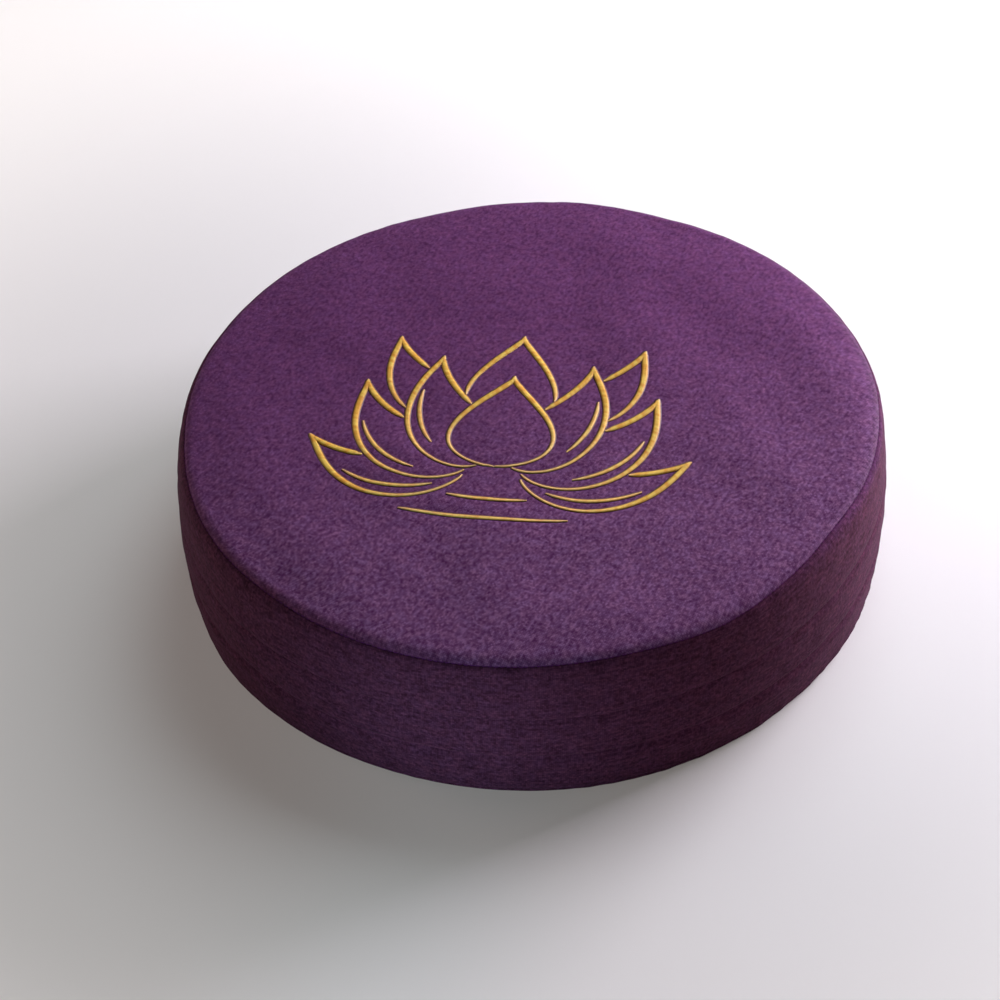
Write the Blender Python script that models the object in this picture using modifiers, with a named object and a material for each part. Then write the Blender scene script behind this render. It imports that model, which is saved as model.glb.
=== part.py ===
"""Round floor cushion for meditation, with a lotus embroidered on its top.

A low drum, filled firm, in a sewn cover: a slightly crowned top panel, a side made of three strips that
swell between drawn-in seams, and a flat base.  The embroidery is gold satin stitch, one solid a stroke.
Metres, +Z up.  The origin is the middle of the base, where the cushion stands, and -Y is its front.
"""

import math

import bmesh
import bpy
from mathutils import Vector

MM = 0.001

# Cushion body
BELLY_RADIUS = 200 * MM        # the widest part of the side
BELLY_HEIGHT = 38 * MM         # where the side is widest
TOP_DRAW = 4.0 * MM            # how far the side leans in below the rim
FOOT_DRAW = 1.9 * MM           # how far it leans in at the foot
RIM_ROUND = 12 * MM            # rounding from the side to the top
RIM_HEIGHT = 84 * MM           # where that rounding starts
CROWN = 2.5 * MM               # the middle of the top above its edge
FOOT_ROUND = 3 * MM            # rounding from the side to the base
RIM_CENTRE = BELLY_RADIUS - TOP_DRAW - RIM_ROUND
TOP_EDGE_HEIGHT = RIM_HEIGHT + RIM_ROUND

# Seams: how deep the cloth is drawn in, and how far from the stitches that reaches
RIM_SEAM_ANGLE = 45            # degrees round the rim, up from the side
RIM_SEAM_DEPTH = 1.1 * MM
RIM_SEAM_REACH = 3.2 * MM
STRIP_SEAM_HEIGHTS = (57.5 * MM, 30.5 * MM)
STRIP_SEAM_DEPTH = 1.7 * MM
STRIP_SEAM_REACH = 9 * MM
FOOT_SEAM_HEIGHT = 5 * MM
FOOT_SEAM_DEPTH = 0.8 * MM
FOOT_SEAM_REACH = 3 * MM
STRIP_SWAY = 2.0 * MM          # the strip seams climb this far towards the left
STRIP_SWAY_AZIMUTH = 200       # degrees, where they are highest

# Mesh rows and turns
TURN_STEPS = 84
TOP_RINGS = 7
BASE_RINGS = 3
RIM_ROW_ANGLES = (78, 66, 56, 50, 45, 40, 34, 24, 12, 0)
STRIP_ROW_OFFSETS = (9, 5, 1.8, 0, -1.8, -5, -9)
STRIP_MIDDLE_HEIGHTS = (75 * MM, 44 * MM, 14 * MM, 8 * MM)
FOOT_SEAM_ROW_OFFSETS = (1.2, 0, -1)
FOOT_ROW_ANGLES = (0, -45, -90)

# Unevenness of the filling and the sewing: azimuth from +X in degrees, size in mm, half width in degrees
RIM_LUMPS = (
    (4, 1.4, 16), (30, 0.6, 14), (60, -1.9, 11), (102, -1.2, 9), (131, 1.3, 16),
    (180, -1.2, 12), (210, 0.5, 16), (285, 0.5, 20), (318, -0.6, 15),
)
FOOT_LUMPS = (
    (0, -0.7, 15), (40, 0.6, 18), (75, -0.5, 16), (105, 0.5, 15), (140, -0.4, 15), (180, 0.6, 14),
    (211, 1.0, 9), (246, -0.8, 14), (283, 0.8, 15), (317, -0.7, 11), (341, -0.8, 7),
)
RIM_SEAM_WANDER = (
    (20, 1.2, 20), (60, -1.5, 15), (110, 1.5, 18), (150, -1.0, 14), (190, -0.8, 15),
    (222, -0.6, 9), (262, 0.9, 20), (299, 2.6, 10), (326, -3.2, 9),
)

# Lotus, in mm on the flat cloth: u to the right and v up from the foot of the flower.  A petal's width
# grows from its base with the power "swell" and falls to its tip with the power "point".
PETAL_COLUMNS = ("name", "base_u", "base_v", "tip_u", "tip_v", "half_width", "bend", "swell", "point")
PETALS = (
    ("front", 0, 0, 0, 72, 29, 0, 0.60, 1.25),
    ("inner", 6, 3, 43, 86, 21, 13, 0.60, 1.20),
    ("outer", 14, -1, 82, 62, 19, 18, 0.66, 1.20),
    ("low", 16, -8, 104, 14, 14, 16, 0.80, 1.20),
    ("back", 0, 34, 0, 108, 25, 0, 0.60, 1.25),
    ("rear", 28, 40, 70, 101, 15, 9, 0.60, 1.20),
)
FOLD_COLUMNS = ("petal", "share_of_width", "start", "end")
FOLDS = (
    ("inner", 0.62, 0.30, 0.74),
    ("outer", 0.60, 0.24, 0.72),
    ("low", 0.45, 0.16, 0.70),
)
RIPPLE_COLUMNS = ("name", "v", "half_length", "sag")
RIPPLES = (
    ("short", -24, 22, 1.6),
    ("long", -37, 46, 3.2),
)
LOTUS_TURN = math.radians(-11)         # seen from above, clockwise
LOTUS_MIDDLE_U_V = (0, 35)             # the middle of the flower's box
LOTUS_PLACE = (-13 * MM, -14 * MM)     # where that middle lies on the cushion
SIDE_SAMPLES = 90                      # points along one side of a petal while it is being worked out
THIN = 1.2 * MM                        # stroke width at a petal's base
THICK = 3.4 * MM                       # and where it is widest, near the tip
FOLD_THICK = 2.2 * MM
END_TAPER = 6 * MM                     # a free end narrows over this length
END_SHARE = 0.45                       # to this share of its width
STROKE_SPACE = 0.5 * MM                # clear cloth left between two strokes
STROKE_STEP = 4.5 * MM                 # length of one step of a stroke's solid
SHORTEST_STROKE = 8 * MM
STROKE_RELIEF = 0.5                    # a stroke's height as a share of its half width
STITCH_GAP = 0.3 * MM                  # from the cloth to the underside of the thread

COVER_COLOUR = (0.115, 0.042, 0.130, 1)
COVER_ROUGHNESS = 0.9
THREAD_COLOUR = (0.72, 0.42, 0.07, 1)
THREAD_ROUGHNESS = 0.45
WELD = 0.01 * MM


def columns(names, rows):
    """The rows of a table as dictionaries, by column name."""
    return [dict(zip(names, row)) for row in rows]


def lumps(table, azimuth):
    """The summed size of a table's smooth lumps at an azimuth in radians."""
    total = 0.0
    for centre, size, half_width in table:
        away = (math.degrees(azimuth) - centre + 180) % 360 - 180
        total += size * MM * math.exp(-((away / half_width) ** 2))
    return total


def smooth_step(share):
    share = min(max(share, 0.0), 1.0)
    return share * share * (3 - 2 * share)


def seam_dip(distance, depth, reach):
    """How far the cloth is drawn in at a distance from a seam."""
    return depth * max(0.0, 1 - abs(distance) / reach) ** 2


def top_height(radius):
    """Height of the crowned top panel."""
    return TOP_EDGE_HEIGHT + CROWN * (1 - (radius / RIM_CENTRE) ** 2)


def rim_point(angle):
    """Radius and height on the rounded rim, angle in degrees up from the side, with its seam drawn in."""
    distance = RIM_ROUND * math.radians(angle - RIM_SEAM_ANGLE)
    rounding = RIM_ROUND - seam_dip(distance, RIM_SEAM_DEPTH, RIM_SEAM_REACH)
    turn = math.radians(angle)
    return RIM_CENTRE + rounding * math.cos(turn), RIM_HEIGHT + rounding * math.sin(turn)


def side_radius(height):
    """Radius of the bellied side, with its strips drawn in at their seams."""
    if height > BELLY_HEIGHT:
        lean = TOP_DRAW * ((height - BELLY_HEIGHT) / (RIM_HEIGHT - BELLY_HEIGHT)) ** 2
    else:
        lean = FOOT_DRAW * ((height - BELLY_HEIGHT) / BELLY_HEIGHT) ** 2
    dip = sum(seam_dip(height - seam, STRIP_SEAM_DEPTH, STRIP_SEAM_REACH) for seam in STRIP_SEAM_HEIGHTS)
    dip += seam_dip(height - FOOT_SEAM_HEIGHT, FOOT_SEAM_DEPTH, FOOT_SEAM_REACH)
    return BELLY_RADIUS - lean - dip


def side_heights():
    """Heights of the mesh rows on the side, from the rim down: close together at the seams."""
    heights = list(STRIP_MIDDLE_HEIGHTS)
    heights += [seam + offset * MM for seam in STRIP_SEAM_HEIGHTS for offset in STRIP_ROW_OFFSETS]
    heights += [FOOT_SEAM_HEIGHT + offset * MM for offset in FOOT_SEAM_ROW_OFFSETS]
    return sorted(heights, reverse=True)


def half_section():
    """The cushion's half section, from the middle of the top, round the rim and side, to the base."""
    rings = [RIM_CENTRE * ring / TOP_RINGS for ring in range(TOP_RINGS + 1)]
    section = [(radius, top_height(radius)) for radius in rings]
    section += [rim_point(angle) for angle in RIM_ROW_ANGLES]
    section += [(side_radius(height), height) for height in side_heights()]
    foot_centre = side_radius(FOOT_ROUND) - FOOT_ROUND
    for angle in FOOT_ROW_ANGLES:
        turn = math.radians(angle)
        section.append((foot_centre + FOOT_ROUND * math.cos(turn), FOOT_ROUND * (1 + math.sin(turn))))
    section += [(foot_centre * (1 - ring / BASE_RINGS), 0.0) for ring in range(1, BASE_RINGS + 1)]
    return section


def uneven(point):
    """Moves a point of the evenly turned cushion to where the hand-filled, hand-sewn one has it."""
    radius, azimuth, height = math.hypot(point.x, point.y), math.atan2(point.y, point.x), point.z
    across, up = radius - RIM_CENTRE, height - RIM_HEIGHT
    if across > 0 and up > 0:
        rounding, angle = math.hypot(across, up), math.atan2(up, across)
        angle -= lumps(RIM_SEAM_WANDER, azimuth) / RIM_ROUND * math.sin(2 * angle)
        radius = RIM_CENTRE + rounding * math.cos(angle)
        height = RIM_HEIGHT + rounding * math.sin(angle)
    elif 0 < height < RIM_HEIGHT and radius > RIM_CENTRE:
        sway = STRIP_SWAY * math.cos(azimuth - math.radians(STRIP_SWAY_AZIMUTH))
        height += sway * math.sin(math.pi * height / RIM_HEIGHT) ** 2
    share = smooth_step(height / RIM_HEIGHT)
    push = share * lumps(RIM_LUMPS, azimuth) + (1 - share) * lumps(FOOT_LUMPS, azimuth)
    radius += push * min(1.0, radius / RIM_CENTRE) ** 4
    return Vector((radius * math.cos(azimuth), radius * math.sin(azimuth), height))


def petal_sides(petal, mirror):
    """The outer and inner side of a petal from base to tip, as lists of (u, v) in mm."""
    base = Vector((petal["base_u"], petal["base_v"]))
    axis = Vector((petal["tip_u"], petal["tip_v"])) - base
    outwards = Vector((axis.y, -axis.x)).normalized()
    widest = petal["swell"] / (petal["swell"] + petal["point"])
    sides = ([], [])
    for sample in range(SIDE_SAMPLES + 1):
        share = sample / SIDE_SAMPLES
        middle = base + axis * share + outwards * (4 * share * (1 - share) * petal["bend"])
        along = axis + outwards * (4 * (1 - 2 * share) * petal["bend"])
        across = Vector((along.y, -along.x)).normalized()
        growth = (share / widest) ** petal["swell"] * ((1 - share) / (1 - widest)) ** petal["point"]
        for side, sign in zip(sides, (1, -1)):
            point = middle + across * (sign * growth * petal["half_width"])
            side.append((point.x * mirror, point.y))
    return sides


def on_cushion(u, v):
    """A point of the lotus drawing, in mm, as x and y on the cushion."""
    u, v = u - LOTUS_MIDDLE_U_V[0], v - LOTUS_MIDDLE_U_V[1]
    x = (u * math.cos(LOTUS_TURN) - v * math.sin(LOTUS_TURN)) * MM
    y = (u * math.sin(LOTUS_TURN) + v * math.cos(LOTUS_TURN)) * MM
    return Vector((x + LOTUS_PLACE[0], y + LOTUS_PLACE[1]))


def inside(point, outline):
    """Whether a point lies inside a closed outline."""
    crossed = False
    for start, end in zip(outline, outline[1:] + outline[:1]):
        if (start.y > point.y) != (end.y > point.y):
            level = (point.y - start.y) / (end.y - start.y)
            crossed ^= point.x < start.x + level * (end.x - start.x)
    return crossed


def petal_width(share):
    """Width of a petal's stroke: thin at its base, thick near its tip and a little less at the very tip."""
    growth = smooth_step(share / 0.85) * (1 - 0.35 * smooth_step((share - 0.9) / 0.1))
    return THIN + (THICK - THIN) * growth


def swelling_width(share, thick):
    """Width of a stroke with two thin ends."""
    return THIN + (thick - THIN) * math.sin(math.pi * share)


def drawn_petals():
    """Each petal as drawn, front to back: its name and its outer and inner side on the cushion."""
    for petal in columns(PETAL_COLUMNS, PETALS):
        hands = (("right", 1), ("left", -1)) if petal["tip_u"] else (("middle", 1),)
        for hand, mirror in hands:
            sides = [[on_cushion(u, v) for u, v in side] for side in petal_sides(petal, mirror)]
            yield f"petal_{petal['name']}_{hand}", sides


def drawn_lines():
    """The lines drawn on and below the petals: name and points on the cushion."""
    for fold in columns(FOLD_COLUMNS, FOLDS):
        petal = next(p for p in columns(PETAL_COLUMNS, PETALS) if p["name"] == fold["petal"])
        petal["half_width"] *= fold["share_of_width"]
        first, last = (round(fold[end] * SIDE_SAMPLES) for end in ("start", "end"))
        for hand, mirror in (("right", 1), ("left", -1)):
            side = petal_sides(petal, mirror)[0][first:last]
            yield f"fold_{fold['petal']}_{hand}", [on_cushion(u, v) for u, v in side]
    for ripple in columns(RIPPLE_COLUMNS, RIPPLES):
        shares = [sample / SIDE_SAMPLES * 2 - 1 for sample in range(SIDE_SAMPLES + 1)]
        line = [(share * ripple["half_length"], ripple["v"] - ripple["sag"] * (1 - share * share))
                for share in shares]
        yield f"ripple_{ripple['name']}", [on_cushion(u, v) for u, v in line]


def free_run(line, widths, covers, laid):
    """The longest run of a line's points that no petal in front covers and no laid stroke touches."""
    runs, run = [], []
    for index, (point, width) in enumerate(zip(line, widths)):
        hidden = any(inside(point, cover) for cover in covers)
        touching = any((point - other).length < (width + other_width) / 2 + STROKE_SPACE
                       for other, other_width in laid)
        if hidden or touching:
            runs.append(run)
            run = []
        else:
            run.append(index)
    runs.append(run)
    return max(runs, key=len)


def free_end_share(distance):
    """How much of its width a stroke keeps at a distance from its free end."""
    return END_SHARE + (1 - END_SHARE) * smooth_step(distance / END_TAPER)


def sewn_stroke(line, widths, covers, laid, thin_ends):
    """The part of a drawn line that is sewn, as points and widths in even steps, or None if too little is
    left.  It is added to the strokes laid so far."""
    run = free_run(line, widths, covers, laid)
    points, widths = [line[i] for i in run], [widths[i] for i in run]
    reach = [0.0]
    for start, end in zip(points, points[1:]):
        reach.append(reach[-1] + (end - start).length)
    if reach[-1] < SHORTEST_STROKE:
        return None
    widths = [width * free_end_share(distance) for width, distance in zip(widths, reach)]
    if thin_ends == 2:
        widths = [width * free_end_share(reach[-1] - distance) for width, distance in zip(widths, reach)]
    laid += zip(points, widths)
    return resampled(points, widths, reach)


def lotus_strokes():
    """Every sewn stroke by name, as points and widths, clear of each other."""
    strokes, laid, covers = {}, [], []
    for name, sides in drawn_petals():
        for place, side in zip(("outer", "inner"), sides):
            widths = [petal_width(sample / SIDE_SAMPLES) for sample in range(SIDE_SAMPLES + 1)]
            strokes[f"{name}_{place}"] = sewn_stroke(side, widths, covers, laid, thin_ends=1)
        covers.append(sides[0] + sides[1][::-1])
    for name, line in drawn_lines():
        widths = [swelling_width(index / (len(line) - 1), FOLD_THICK) for index in range(len(line))]
        strokes[name] = sewn_stroke(line, widths, [], laid, thin_ends=2)
    return {name: stroke for name, stroke in strokes.items() if stroke}


def resampled(points, widths, reach):
    """The same line in equal steps of about STROKE_STEP."""
    steps = max(3, round(reach[-1] / STROKE_STEP))
    new_points, new_widths, index = [], [], 0
    for step in range(steps + 1):
        target = reach[-1] * step / steps
        while index < len(reach) - 2 and reach[index + 1] < target:
            index += 1
        share = (target - reach[index]) / (reach[index + 1] - reach[index])
        new_points.append(points[index].lerp(points[index + 1], share))
        new_widths.append(widths[index] + (widths[index + 1] - widths[index]) * share)
    return new_points, new_widths


def material(name, colour, roughness):
    made = bpy.data.materials.new(name)
    made.use_nodes = True
    shader = made.node_tree.nodes["Principled BSDF"]
    shader.inputs["Base Color"].default_value = colour
    shader.inputs["Roughness"].default_value = roughness
    shader.inputs["Metallic"].default_value = 0.0
    return made


def evaluated_mesh(source):
    """The object's mesh with its modifiers or its bevel applied.  The source object is removed."""
    bpy.context.view_layer.update()
    graph = bpy.context.evaluated_depsgraph_get()
    mesh = bpy.data.meshes.new_from_object(source.evaluated_get(graph))
    mesh.transform(source.matrix_world)
    bpy.data.objects.remove(source)
    return mesh


def add_object(name, data, collection, paint=None):
    added = bpy.data.objects.new(name, data)
    collection.objects.link(added)
    if paint:
        data.materials.clear()
        data.materials.append(paint)
    return added


def cushion_body(collection, paint):
    """The filled cushion: its half section turned about the upright axis, then made uneven."""
    section = half_section()
    mesh = bpy.data.meshes.new("half_section")
    mesh.from_pydata([(radius, 0, height) for radius, height in section],
                     [(row, row + 1) for row in range(len(section) - 1)], [])
    turned = add_object("half_section", mesh, collection)
    screw = turned.modifiers.new("turn", "SCREW")
    screw.axis = "Z"
    screw.steps = TURN_STEPS
    screw.render_steps = TURN_STEPS
    screw.use_merge_vertices = True
    screw.merge_threshold = WELD
    body = evaluated_mesh(turned)
    for vertex in body.vertices:
        vertex.co = uneven(vertex.co)
    body.shade_smooth()
    return add_object("cushion", body, collection, paint)


def stroke_solid(name, points, widths, collection, paint):
    """One satin stitch stroke: a tapered tube along the line, its lower half flat on the top panel."""
    curve = bpy.data.curves.new(name, "CURVE")
    curve.dimensions = "3D"
    curve.twist_mode = "Z_UP"
    curve.bevel_depth = THICK / 2
    curve.bevel_resolution = 2
    curve.use_fill_caps = True
    spline = curve.splines.new("POLY")
    spline.points.add(len(points) - 1)
    for knot, point, width in zip(spline.points, points, widths):
        knot.co = (point.x, point.y, 0, 1)
        knot.radius = width / THICK
    mesh = evaluated_mesh(add_object(name, curve, collection))
    tube = bmesh.new()
    tube.from_mesh(mesh)
    bmesh.ops.remove_doubles(tube, verts=tube.verts, dist=WELD)
    for vertex in tube.verts:
        cloth = top_height(math.hypot(vertex.co.x, vertex.co.y))
        vertex.co.z = cloth + STITCH_GAP + max(vertex.co.z, 0) * STROKE_RELIEF
    bmesh.ops.recalc_face_normals(tube, faces=tube.faces)
    tube.to_mesh(mesh)
    tube.free()
    mesh.shade_smooth()
    return add_object(name, mesh, collection, paint)


def main():
    for old in list(bpy.data.objects):
        bpy.data.objects.remove(old)
    collection = bpy.data.collections.new("round_cushion")
    bpy.context.scene.collection.children.link(collection)
    cushion_body(collection, material("cover_cloth", COVER_COLOUR, COVER_ROUGHNESS))
    thread = material("gold_thread", THREAD_COLOUR, THREAD_ROUGHNESS)
    for name, (points, widths) in lotus_strokes().items():
        stroke_solid(name, points, widths, collection, thread)


main()
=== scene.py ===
"""Looks of the round meditation cushion: its sewn cover over a firm filling, and the lotus embroidered in
gold satin stitch.  Metres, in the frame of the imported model; a table or a name that says mm is in mm."""

import math
import random

import bpy
import numpy as np
from mathutils import Matrix, Vector, noise
from mathutils.bvhtree import BVHTree
from mathutils.kdtree import KDTree


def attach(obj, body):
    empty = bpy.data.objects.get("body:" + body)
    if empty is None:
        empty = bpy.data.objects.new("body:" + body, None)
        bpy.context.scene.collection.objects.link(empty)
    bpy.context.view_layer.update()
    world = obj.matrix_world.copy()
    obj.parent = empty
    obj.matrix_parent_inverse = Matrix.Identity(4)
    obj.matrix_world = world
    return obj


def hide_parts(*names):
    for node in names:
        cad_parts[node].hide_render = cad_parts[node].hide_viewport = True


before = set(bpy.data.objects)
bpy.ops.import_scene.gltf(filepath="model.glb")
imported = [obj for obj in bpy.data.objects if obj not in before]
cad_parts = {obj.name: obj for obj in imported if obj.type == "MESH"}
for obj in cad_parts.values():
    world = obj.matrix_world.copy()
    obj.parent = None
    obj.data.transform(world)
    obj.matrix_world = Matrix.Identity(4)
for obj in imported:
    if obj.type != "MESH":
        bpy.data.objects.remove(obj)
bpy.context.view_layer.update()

MM = 0.001
UP = Vector((0, 0, 1))

# Cushion body: the form of the solids, with shallower seams
BELLY_RADIUS = 200 * MM
BELLY_HEIGHT = 38 * MM
TOP_DRAW = 4.0 * MM
FOOT_DRAW = 1.9 * MM
RIM_ROUND = 12 * MM
RIM_HEIGHT = 84 * MM
CROWN = 2.5 * MM
FOOT_ROUND = 3 * MM
RIM_CENTRE = BELLY_RADIUS - TOP_DRAW - RIM_ROUND
TOP_EDGE_HEIGHT = RIM_HEIGHT + RIM_ROUND
RIM_SEAM_ARC = RIM_ROUND * math.radians(45)  # from the rim's outer side up to its seam
RIM_SEAM = (0.4 * MM, 2.2 * MM)  # depth of a seam's groove, and its reach to both sides
STRIP_SEAM_HEIGHTS = (57.5 * MM, 30.5 * MM)
STRIP_SEAM = (0.9 * MM, 7 * MM)
FOOT_SEAM_HEIGHT = 3.5 * MM
FOOT_SEAM = (0.4 * MM, 3 * MM)
STRIP_SWAY, STRIP_SWAY_AZIMUTH = 2.0 * MM, 200
RIM_LUMPS = (  # azimuth from +X in degrees, size in mm, half width in degrees
    (4, 1.4, 16), (30, 0.6, 14), (60, -1.9, 11), (102, -1.2, 9), (131, 1.3, 16),
    (180, -1.2, 12), (210, 0.5, 16), (285, 0.5, 20), (318, -0.6, 15),
)
FOOT_LUMPS = (
    (0, -0.7, 15), (40, 0.6, 18), (75, -0.5, 16), (105, 0.5, 15), (140, -0.4, 15), (180, 0.6, 14),
    (211, 1.0, 9), (246, -0.8, 14), (283, 0.8, 15), (317, -0.7, 11), (341, -0.8, 7),
)
RIM_SEAM_WANDER = (
    (20, 1.2, 20), (60, -1.5, 15), (110, 1.5, 18), (150, -1.0, 14), (190, -0.8, 15),
    (222, -0.6, 9), (262, 0.9, 20), (299, 2.6, 10), (326, -3.2, 9),
)

# The top's edge stays flat nearer to its seam than in the solids, and the seam wanders more
EDGE_FLAT = 1.1 * MM
EDGE_FLAT_FROM, EDGE_FLAT_TO = 1.5 * MM, 9.5 * MM  # from the rim seam upwards
RIM_SEAM_SHIFT = ((326, 1.3, 9), (355, 2.0, 20))

# Sewing that the solids leave out: the cloth rolls into a seam with this radius
RIM_ROLL = 0.38 * MM
STRIP_ROLL = 0.45 * MM
FOOT_ROLL = 0.35 * MM
JOIN_ROLL = 0.8 * MM  # the upright seam at the back that closes the side band
JOIN_REACH = 5 * MM
LAP_STEP = 0.55 * MM  # the strip above the lower seam laps over the one below it
LAP_SLOPE = 0.25 * MM  # how far down the step goes
LAP_FADE = (7 * MM, 6 * MM)  # where the lower strip is back in place, and how gradually
LAP_LIP = 0.3 * MM
LAP_LIP_HEIGHT = 1.4 * MM  # of the lip's crest above its seam
LAP_LIP_HALF_WIDTH = 1.6 * MM
LAP_LIP_END = -0.1 * MM  # just below the seam
ALLOWANCE_WIDTH = 7 * MM  # seam allowance, pressed down behind the side band
ALLOWANCE_GAP = 0.5 * MM
ALLOWANCE_RELIEF = 0.18 * MM
SWELL = 1.0 * MM  # how far the filling swells the cover between its seams
TOP_SWELL_FADE = 60 * MM  # the top swells less within this reach of its edge
STRIP_TIGHT = ((227, 0.7, 5), (238, 0.3, 3))  # where the upper strip seam is drawn in tightly
STRIP_LOOSE = 0.8  # share of the seam's roll that is missing elsewhere

# Swelling of the filled cover, by cloth simulation
VOXEL = 5 * MM
FRAMES = 20
CLOTH_SETTINGS = {
    "quality": 5, "mass": 0.3, "tension_stiffness": 5.0, "compression_stiffness": 5.0,
    "shear_stiffness": 5.0, "bending_stiffness": 0.5, "use_pressure": True, "uniform_pressure_force": 6.0,
    "vertex_group_mass": "hold", "vertex_group_shrink": "snug",
    "shrink_min": -0.005,  # the side's cloth is cut this much longer than the foam, as a share
}
SEAM_HOLD = 2.8 * MM  # the seams hold the cloth within this reach
TOP_HOLD = 0.16  # how firmly the foam holds the rest of the cloth, as a pin weight
SIDE_HOLD = 0.05
HOLD_UNEVENNESS = 0.5  # how much the hold varies, as a share
FILLING_PATCH, FILLING_SEED = 45 * MM, 17.0  # of firmer and softer places
MOST_SWELL = 1.8 * MM
NEIGHBOURS = 6  # simulated points that a point of the fine cover follows

# Cover mesh
COLUMNS = 512
FEWEST_COLUMNS = 16
COLUMN_SPACE = 1.3 * MM  # columns are halved towards the middle where they would be closer than this
ROW_STEP = 2.3 * MM
BASE_ROW_STEP = 6 * MM
FOOT_ROW_ANGLES = (-15, -30, -45, -60, -75, -90)
BASE_EDGE_ROW = 1.5 * MM
ROW_SLACK = 0.01 * MM  # rows and rings nearer than this count as the same place
SEAM_ROW_OFFSETS = (0, 0.12, 0.35, 0.65, 1.0, 1.5, 2.2, 3.1, 4.3)  # mm to both sides
LAP_ROW_OFFSETS = (-0.15, -0.3, 0.06)  # mm, for the lap's step
JOIN_COLUMN_OFFSETS = (0.25, 0.7, 1.6, 4.6)  # mm, columns beside the join
SHARP_FOLD = math.radians(75)  # the mesh has a crisp edge where it folds by more
STRIP_PATTERNS = {  # the faces between two rows: row and half steps of the coarser ring's columns
    "same": (((0, 0), (1, 0), (1, 2), (0, 2)),),
    "finer": (((0, 0), (1, 0), (1, 1)), ((0, 0), (1, 1), (0, 2)), ((0, 2), (1, 1), (1, 2))),
    "coarser": (((0, 0), (1, 0), (0, 1)), ((0, 1), (1, 0), (1, 2)), ((0, 1), (1, 2), (0, 2))),
    "from the middle": (((0, 0), (1, 0), (1, 2)),),
    "to the middle": (((0, 0), (1, 0), (0, 2)),),
}

# Embroidery, as in the solids
PETAL_COLUMNS = ("name", "base_u", "base_v", "tip_u", "tip_v", "half_width", "bend", "swell", "point")
PETALS = (
    ("front", 0, 0, 0, 72, 29, 0, 0.60, 1.25),
    ("inner", 6, 3, 43, 86, 21, 13, 0.60, 1.20),
    ("outer", 14, -1, 82, 62, 19, 18, 0.66, 1.20),
    ("low", 16, -8, 104, 14, 14, 16, 0.80, 1.20),
    ("back", 0, 34, 0, 108, 25, 0, 0.60, 1.25),
    ("rear", 28, 40, 70, 101, 15, 9, 0.60, 1.20),
)
FOLD_COLUMNS = ("petal", "share_of_width", "start", "end")
FOLDS = (
    ("inner", 0.62, 0.30, 0.74),
    ("outer", 0.60, 0.24, 0.72),
    ("low", 0.45, 0.16, 0.70),
)
RIPPLE_COLUMNS = ("name", "v", "half_length", "sag")
RIPPLES = (
    ("short", -24, 22, 1.6),
    ("long", -37, 46, 3.2),
)
LOTUS_TURN = math.radians(-11)
LOTUS_MIDDLE_U_V = (0, 35)
LOTUS_PLACE = (-13 * MM, -14 * MM)
SIDE_SAMPLES = 90
SHARES = [sample / SIDE_SAMPLES for sample in range(SIDE_SAMPLES + 1)]  # of the way along a drawn line
THIN, THICK, FOLD_THICK = 1.2 * MM, 3.4 * MM, 2.2 * MM  # widths of strokes
THICK_AT = 0.85  # a petal's stroke is thickest at this share of its way
TIP_LOSS, TIP_LOSS_FROM, TIP_LOSS_LENGTH = 0.2, 0.9, 0.1  # and then loses a little
END_TAPER, END_SHARE = 6 * MM, 0.45  # length of a free end, and share of the width at the very end
SHORTEST_STROKE = 8 * MM
HANDS = (("right", 1), ("left", -1))

# Satin stitch, whose strokes meet where those of the solids keep apart
STROKE_TUCK = 0.9 * MM  # how far a stroke runs under the one that it meets
TIP_JOIN = 9 * MM  # a petal's two sides run together within this reach of its tip
TIP_POINT = 3.0 * MM  # how far the stitching runs on beyond a petal's tip
TIP_STEPS = 5
TIP_SAMPLES = 3  # of a petal's side, which give its way at the tip
TIP_POWER = 0.8  # how its width falls to the least one
LEAST_WIDTH = 0.3 * MM
FEWEST_THREADS = 8
THREAD_PITCH = 0.42 * MM  # from one stitch to the next along a stroke
THREAD_SLANT = 0.35  # a stitch leans forward by this share of its reach from the middle
SATIN_SHARE = 0.87  # width of a sewn stroke as a share of its solid's
SATIN_RELIEF = 0.42  # height of a stroke as a share of its half width
SATIN_LOWEST = 0.36 * MM
SATIN_DEPTH = 0.24 * MM  # how far a stroke goes down into the cloth
SATIN_POINT = 1.5  # length of a stroke's rounded end, in half widths
END_SLACK, END_LEAST = 0.1 * MM, 0.04  # more of that length, and the square of the least width share
SATIN_DOME = 3.4  # how square a stroke's domed section is, as a power
CREST_WIDTH = (0.95, 0.07, 0.035)  # share between threads, more on a thread, and its unevenness
CREST_HEIGHT = (0.80, 0.20, 0.05)
SATIN_SECTION = (-1, -0.86, -0.5, 0, 0.5, 0.86, 1)
WAY_STEP = 0.2 * MM  # how far to both sides a stroke's way is read
CLOTH_DIP = 0.42 * MM  # how far a stroke pulls the cloth down
CLOTH_DIP_REACH = 2.6 * MM
PINCH_WIDTH = 0.85 * MM  # of the thin band of painted shadow that lies on the cloth to both sides of a stroke
PINCH_LIFT = 0.03 * MM
PINCH_MARK = 1.3  # of the painted shadow band, where the stroke's own edge is marked 1
SHADE_LENGTH = 2.4 * MM  # of the lighter and darker stretches of a stroke
SHADE_SHARES = (1.4, 0.25)  # of those stretches and of single stitches in a stroke's tone
PALE_BELOW = 3.0 * MM  # strokes narrower than this look paler, the more the narrower they are
PALE_SHARE = 0.7

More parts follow.
